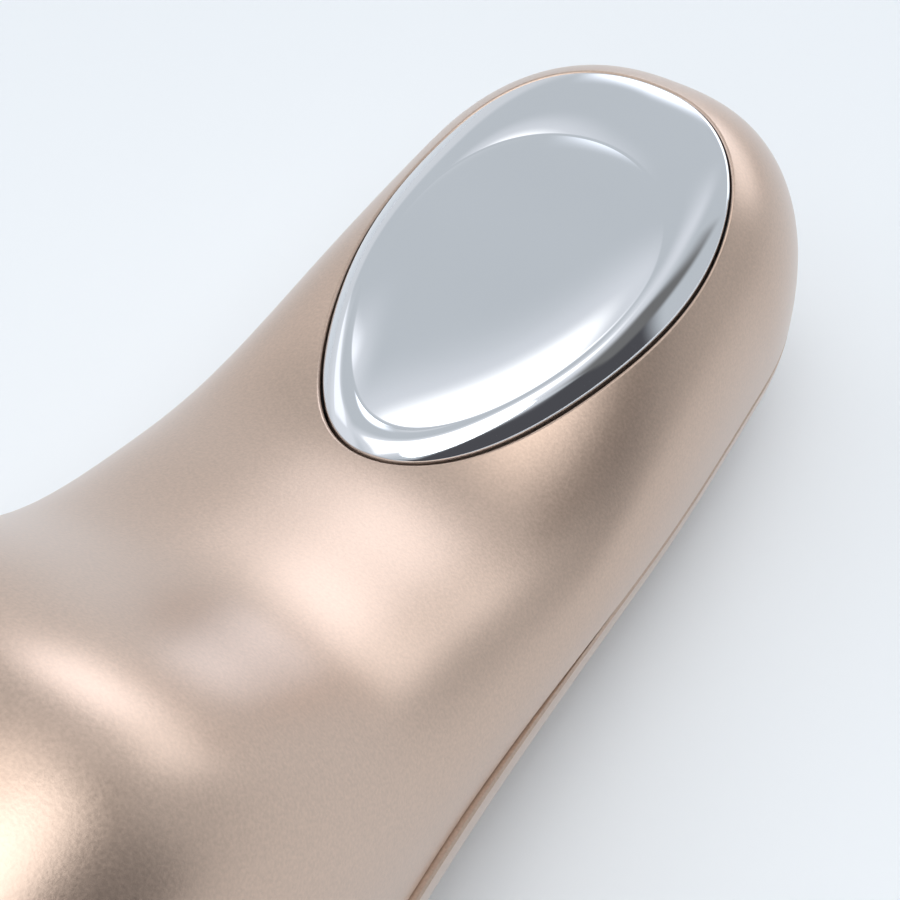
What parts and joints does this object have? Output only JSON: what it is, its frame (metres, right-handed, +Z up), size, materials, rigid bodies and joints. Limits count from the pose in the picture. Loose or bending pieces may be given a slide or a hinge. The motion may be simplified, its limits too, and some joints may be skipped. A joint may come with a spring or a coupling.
{
  "type": "facial skincare device",
  "caption": "Handheld facial skincare device: humped champagne body with an egg-shaped polished treatment plate in its head and push buttons on its handle.",
  "frame": {"origin": "on the surface that the device lies on, under the middle of its length and width", "axes": "+Y along the body towards the head's tip, +X to the device's right, +Z up, out of the treatment plate"},
  "size_m": [0.0524, 0.185, 0.0566],
  "materials": {
    "champagne_paint": "moulded plastic with satin metallic champagne paint and a fine sparkle",
    "polished_chrome": "mirror-polished bright metal",
    "dark_gasket": "matt dark rubber",
    "dark_seal": "matt dark rubber",
    "dark_nylon": "moulded dark grey plastic",
    "polyimide_film": "amber film",
    "dark_bead": "dipped bead",
    "button_paint": "moulded plastic with satin metallic champagne paint",
    "white_nylon": "natural moulded plastic",
    "black_plastic": "moulded black plastic",
    "milky_window": "milky light-diffusing plastic",
    "base_plastic": "fine matt plastic",
    "circuit_board": "green solder mask",
    "copper_coil": "enamelled copper",
    "battery_sleeve": "shrunk sleeve",
    "motor_steel": "plated steel",
    "weight_brass": "turned brass",
    "wire_jacket": "red jacket",
    "screw_steel": "zinc-plated steel",
    "plug_rubber": "matt plug in the body's colour",
    "lamp_resin": "clear resin",
    "gold_pin": "gold-plated contact"
  },
  "bodies": {
    "root": {"treatment_plate": "polished_chrome", "plate_gasket": "dark_gasket", "plate_carrier": "dark_nylon", "carrier_screw_1": "screw_steel", "carrier_screw_2": "screw_steel", "heater_film": "polyimide_film", "temperature_sensor": "dark_bead", "power_ring": "polished_chrome", "power_switch": "black_plastic", "level_switch": "black_plastic", "mode_switch": "black_plastic", "light_window": "milky_window", "indicator_lamp_1": "lamp_resin", "indicator_lamp_2": "lamp_resin", "indicator_lamp_3": "lamp_resin", "main_board": "circuit_board", "board_screw_1": "screw_steel", "board_screw_2": "screw_steel", "board_screw_3": "screw_steel", "board_screw_4": "screw_steel", "controller_chip": "black_plastic", "booster_coil": "copper_coil", "buzzer": "black_plastic", "battery_plug": "white_nylon", "battery_cell": "battery_sleeve", "battery_cradle": "dark_nylon", "cradle_screw_1": "screw_steel", "cradle_screw_2": "screw_steel", "vibration_motor": "motor_steel", "motor_bracket": "dark_nylon", "bracket_screw_1": "screw_steel", "bracket_screw_2": "screw_steel", "hand_contact": "polished_chrome", "base_cap": "base_plastic", "charge_pin_1": "gold_pin", "charge_pin_2": "gold_pin", "charge_board": "circuit_board", "case_screw_1": "screw_steel", "case_screw_2": "screw_steel", "case_screw_3": "screw_steel", "case_screw_4": "screw_steel", "screw_plug_1": "plug_rubber", "screw_plug_2": "plug_rubber", "screw_plug_3": "plug_rubber", "screw_plug_4": "plug_rubber", "shell_seal": "dark_seal", "front_cover": "champagne_paint", "rear_cover": "champagne_paint", "plate_lead": "wire_jacket", "motor_lead": "wire_jacket"},
    "power_key": {"power_button": "button_paint", "power_stem": "white_nylon"},
    "level_key": {"level_button": "button_paint", "level_stem": "white_nylon"},
    "mode_key": {"mode_button": "button_paint", "mode_stem": "white_nylon"},
    "rotor": {"motor_shaft": "motor_steel", "eccentric_weight": "weight_brass"}
  },
  "joints": [
    {"name": "power_press", "type": "slide", "parent": "root", "child": "power_key", "axis": [0, 0, -1], "range_m": [0, 0.0004], "stiffness_N_per_m": 900},
    {"name": "level_press", "type": "slide", "parent": "root", "child": "level_key", "axis": [0, 0, -1], "range_m": [0, 0.0004], "stiffness_N_per_m": 900},
    {"name": "mode_press", "type": "slide", "parent": "root", "child": "mode_key", "axis": [0, 0, -1], "range_m": [0, 0.0004], "stiffness_N_per_m": 900},
    {"name": "motor_spin", "type": "hinge", "parent": "root", "child": "rotor", "pos_m": [0, 0.05, 0.0092], "axis": [0, 1, 0], "continuous": true}
  ]
}
